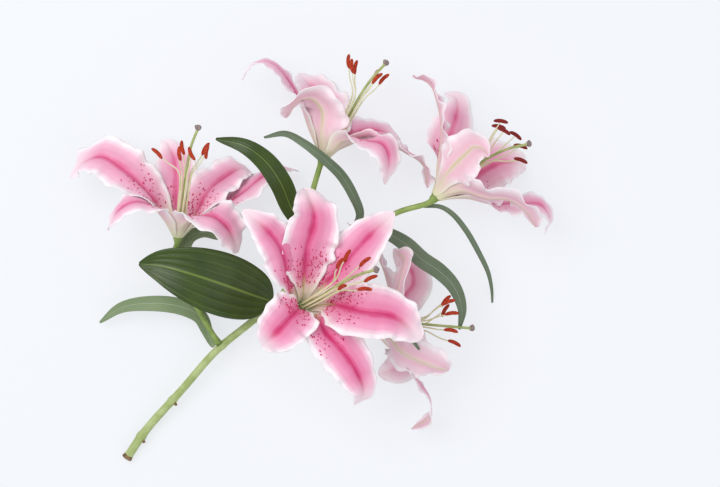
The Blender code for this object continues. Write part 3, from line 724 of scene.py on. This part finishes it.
def leaf_face(name, dark, light, line_colour, roughness, vein_share):
    made = Finish(name, roughness, 0.5)
    edge = made.math("ABSOLUTE", made.value("across"))
    vein = streaks(made, 1.6, 0.04)
    mottle = made.noise(made.place(), 45.0, 4.0)
    colour = made.mix(mottle, dark, light)
    wave = made.math("COSINE", made.math("MULTIPLY", edge, 2 * math.pi * 3.5))
    lines = made.math("MULTIPLY", made.ramp(wave, [(0.0, 0.0), (0.93, 0.0), (1.0, 1.0)]), vein_share)
    colour = made.mix(lines, colour, line_colour)
    rib = made.ramp(edge, [(0.0, 1.0), (0.03, 0.6), (0.06, 0.0), (1.0, 0.0)])
    colour = made.mix(made.math("MULTIPLY", rib, 0.8), colour, line_colour)
    return made.finish(colour, vein, 0.4, 0.0006)


def plant_skin(name, dark, light, roughness=0.45, stretch=90.0):
    made = Finish(name, roughness, 0.4)
    mottle = made.noise(made.place(), stretch, 4.0)
    colour = made.ramp(mottle, [(0.3, dark), (0.7, light)])
    return made.finish(colour, made.noise(made.place(), 700.0, 2.0), 0.25, 0.0003)


PETAL_INNER = petal_inner()
PETAL_OUTER = petal_outer()
PAPILLA = plant_skin("papilla", srgb(196, 30, 92), srgb(214, 52, 112), 0.4)
LEAF_UPPER = leaf_face("leaf_upper", srgb(26, 48, 4), srgb(64, 88, 12), srgb(116, 142, 58), 0.3, 0.22)
LEAF_LOWER = leaf_face("leaf_lower", srgb(110, 132, 92), srgb(138, 156, 116), srgb(176, 186, 160), 0.55, 0.35)
GREY_UPPER = leaf_face("leaf_grey", srgb(78, 96, 72), srgb(112, 130, 102), srgb(150, 162, 138), 0.45, 0.3)
STEM = plant_skin("stem_skin", srgb(156, 174, 104), srgb(184, 198, 138))
STALK = plant_skin("stalk_skin", srgb(122, 148, 70), srgb(154, 176, 98))
BROWN = plant_skin("scar", srgb(96, 66, 42), srgb(150, 124, 88), 0.7, 300.0)
FILAMENT = plant_skin("filament", srgb(214, 218, 166), srgb(232, 232, 196), 0.45)
ANTHER = plant_skin("anther", srgb(128, 26, 10), srgb(204, 66, 18), 0.75, 900.0)
ANTHER_DARK = plant_skin("anther_dark", srgb(96, 10, 14), srgb(150, 28, 24), 0.7, 900.0)
STYLE = plant_skin("style", srgb(150, 166, 96), srgb(184, 194, 130), 0.4)
STIGMA = plant_skin("stigma", srgb(120, 104, 104), srgb(156, 140, 136), 0.6, 500.0)


# ---------------------------------------------------------------- pieces
def build_tepal(node, flower_name, flower, index, seed):
    """One sepal or petal; returns its grid of points, for the papillae to stand on."""
    points, uu, vv, mm_across, mm_along = tepal_fine(flower, index, seed)
    along, across = points.shape[:2]
    faces = grid_faces(along, across)
    values = {
        "across": uu.reshape(-1), "along": vv.reshape(-1),
        "mm_across": mm_across.reshape(-1), "mm_along": mm_along.reshape(-1) + 200 * seed,
        "tint": np.full(uu.size, TINTS[flower_name]),
    }
    made = mesh_object(node + "_blade", points.reshape(-1, 3), faces, (PETAL_INNER, PETAL_OUTER), values)
    thicken(made, TEPAL_SHEET)
    keep(made, node)
    return points


def build_papillae(name, points, seed, count):
    dots, faces = papillae(points, np.random.default_rng(seed), count)
    made = mesh_object(name + "_papillae", dots, faces, (PAPILLA,))
    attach(made, "root")


def anther_shape(angle, _share):
    """Two pollen sacs side by side with a groove between, and rounded ends."""
    return 0.82 + 0.30 * np.abs(np.cos(angle)) ** 1.5


def build_stamens(name, flower_name, flower):
    axis = flower_frame(flower)[0]
    seat = np.array(flower["seat"], float)
    low = seat + (RECEPTACLE_TOP + SEAT_GAP) * axis
    parts = [(*tube_parts(np.array([low, low + STAMEN_RING[2] * axis]), (3.6, 3.4), 24), 0)]
    pollen = ANTHER_DARK if flower_name == "right" else ANTHER
    for index in range(6):
        line = filament_line(flower, index, 30)
        v = np.linspace(0, 1, 31)
        parts.append((*tube_parts(line, FILAMENT_TAPER[0] - FILAMENT_TAPER[1] * v, 10), 0))
        centre, heading, dip = flower["anthers"][index]
        bowed = anther_line(seat + np.array(centre, float), heading, dip)[0]
        fine = smooth_curve(bowed, 20)
        s = np.linspace(-1, 1, 21)
        reach = ANTHER_REACH * np.sqrt(np.clip(1 - np.abs(s) ** 3.2, 0.02, 1))
        parts.append((*tube_parts(fine, reach, 14, anther_shape), 1))
    points, faces, along, finish = joined(parts)
    made = mesh_object(name + "_fine", points, faces, (FILAMENT, pollen), {"along": along}, finish)
    keep(made, name)


def pistil_shape(angle, share):
    """Three-lobed at the stigma, six faint ribs on the ovary."""
    lobes = 0.22 * np.cos(3 * angle) * smooth_step(0.93, 0.99, share)
    return 1 + lobes + 0.05 * np.cos(6 * angle) * (1 - smooth_step(0.10, 0.22, share))


def build_pistil(name, flower):
    line, _ = pistil_line(flower, 90)
    run = np.linspace(0, 1, 91) * np.linalg.norm(np.diff(line, axis=0), axis=1).sum()
    left = run[-1] - run
    radius = OVARY_RADIUS + (FINE_STYLE_RADIUS - OVARY_RADIUS) * smooth_step(12, 20, run)
    radius = radius + (STIGMA_RADIUS - FINE_STYLE_RADIUS) * smooth_step(6.0, 2.2, left)
    radius = radius * np.sqrt(np.clip(left / 1.6, 0.12, 1))
    points, faces, along = tube_parts(line, radius, 24, pistil_shape)
    limit = 1 - 5.0 / run[-1]
    finish = [1 if along[face[0]] > limit else 0 for face in faces]
    made = mesh_object(name + "_fine", points, faces, (STYLE, STIGMA), {"along": along}, finish)
    keep(made, name)


def stem_shape(angle, share):
    """Five soft ridges that wind along the stem, and finer ones between them."""
    return 1 + 0.035 * np.cos(5 * angle + 9 * share) + 0.02 * np.cos(13 * angle)


def stalk_shape(angle, share):
    return 1 + 0.03 * np.cos(3 * angle + 4 * share)


def build_stem():
    """The main stem, with its torn end, two scars with dried nubs, and a cut stub at the top."""
    line, radii = stem_line(120)
    v = np.linspace(0, 1, 121)
    for place, height in STEM_RINGS:
        radii = radii + height * np.exp(-(((v - place) / 0.012) ** 2))
    points, faces, along = tube_parts(line, radii, 28, stem_shape)
    finish = [1 if along[face[0]] < BROWN_END else 0 for face in faces]
    for share, direction, length, radius in STEM_NUBS:
        at = line[int(share * 120)]
        away = unit(np.array(direction))
        nub = smooth_curve([at, at + 0.5 * length * away, at + length * away], 10)
        nub_points, nub_faces, nub_along = tube_parts(nub, radius * (1.15 - 0.35 * np.linspace(0, 1, 11)), 14)
        start = len(points)
        points = np.vstack([points, nub_points])
        faces = faces + [tuple(corner + start for corner in face) for face in nub_faces]
        finish = finish + [1 if nub_along[face[0]] > 0.65 else 0 for face in nub_faces]
        along = np.concatenate([along, nub_along])
    made = mesh_object("main_stem_skin", points, faces, (STEM, BROWN), {"along": along}, finish)
    keep(made, "main_stem")


def build_stalk(name):
    line, radii = stalk_line(name, 60)
    v = np.linspace(0, 1, 61)
    radii = radii + 1.0 * np.exp(-((v / 0.05) ** 2))
    points, faces, along = tube_parts(line, radii, 20, stalk_shape)
    made = mesh_object(f"{name}_stalk_skin", points, faces, (STALK,), {"along": along})
    keep(made, f"{name}_stalk")


def build_leaf(name, seed):
    points, uu, vv, mm_across, mm_along = leaf_fine(LEAVES[name], seed)
    along, across = points.shape[:2]
    values = {
        "across": uu.reshape(-1), "along": vv.reshape(-1),
        "mm_across": mm_across.reshape(-1), "mm_along": mm_along.reshape(-1) + 300 * seed,
        "tint": np.full(uu.size, 0.5),
    }
    glossy = name in ("broad_leaf", "dark_leaf")
    pale = name in ("low_leaf", "small_bract")
    upper = LEAF_UPPER if glossy else LEAF_LOWER if pale else GREY_UPPER
    lower = LEAF_LOWER if not pale else LEAF_UPPER
    faces = grid_faces(along, across)
    made = mesh_object(name + "_blade", points.reshape(-1, 3), faces, (upper, lower), values)
    thicken(made, LEAF_SHEET)
    keep(made, name)


def build_spray():
    build_stem()
    seed = 1
    for name, flower in FLOWERS.items():
        build_stalk(name)
        for index in range(6):
            kind = "sepal" if index % 2 == 0 else "petal"
            node = f"{name}_{kind}_{index // 2 + 1}"
            points = build_tepal(node, name, flower, index, seed)
            count = int(PAPILLA_COUNT * PAPILLA_SHARE[index % 2] * (0.35 + 0.65 * TINTS[name]))
            build_papillae(node, points, seed + PAPILLA_SEED, count)
            seed += 1
        build_stamens(f"{name}_stamens", name, flower)
        build_pistil(f"{name}_pistil", flower)
    for name in LEAVES:
        build_leaf(name, seed)
        seed += 1


# ---------------------------------------------------------------- floor, light and camera
def build_stage():
    mesh = bpy.data.meshes.new("floor")
    reach = 3.0
    corners = [(-reach, -reach, 0), (reach, -reach, 0), (reach, reach, 0), (-reach, reach, 0)]
    mesh.from_pydata(corners, [], [(0, 1, 2, 3)])
    floor = bpy.data.objects.new("floor", mesh)
    bpy.context.scene.collection.objects.link(floor)
    made = Finish("floor", 0.9, 0.1)
    made.shader.inputs["Base Color"].default_value = srgb(238, 241, 246)
    glow = made.node("ShaderNodeEmission")
    glow.inputs["Color"].default_value = srgb(246, 248, 252)
    seen = made.node("ShaderNodeLightPath").outputs["Is Camera Ray"]
    blend = made.node("ShaderNodeMixShader")
    made.link(made.math("MULTIPLY", seen, 0.72), blend.inputs[0])
    made.link(made.shader.outputs[0], blend.inputs[1])
    made.link(glow.outputs[0], blend.inputs[2])
    made.link(blend.outputs[0], made.tree.nodes["Material Output"].inputs["Surface"])
    mesh.materials.append(made.material)

    scene = bpy.context.scene
    world = bpy.data.worlds.new("world")
    scene.world = world
    world.use_nodes = True
    world.node_tree.nodes["Background"].inputs["Color"].default_value = (0.97, 0.985, 1.0, 1.0)
    world.node_tree.nodes["Background"].inputs["Strength"].default_value = 0.62

    for name, place, watts, size in LAMPS:
        light = bpy.data.lights.new(name, "AREA")
        light.energy = watts
        light.size = size
        lamp = bpy.data.objects.new(name, light)
        lamp.location = place
        direction = np.array(place)
        lamp.rotation_euler = (math.acos(direction[2] / np.linalg.norm(direction)), 0,
                               math.atan2(direction[1], direction[0]) + math.pi / 2)
        scene.collection.objects.link(lamp)

    camera = bpy.data.objects.new("camera", bpy.data.cameras.new("camera"))
    camera.data.lens = CAMERA_LENS
    camera.data.sensor_width = 36.0
    camera.data.clip_end = 10.0
    camera.location = placed((0.0, 0.0, CAMERA_HEIGHT))
    scene.collection.objects.link(camera)
    scene.camera = camera
    scene.view_settings.view_transform = "Standard"


build_spray()
build_stage()
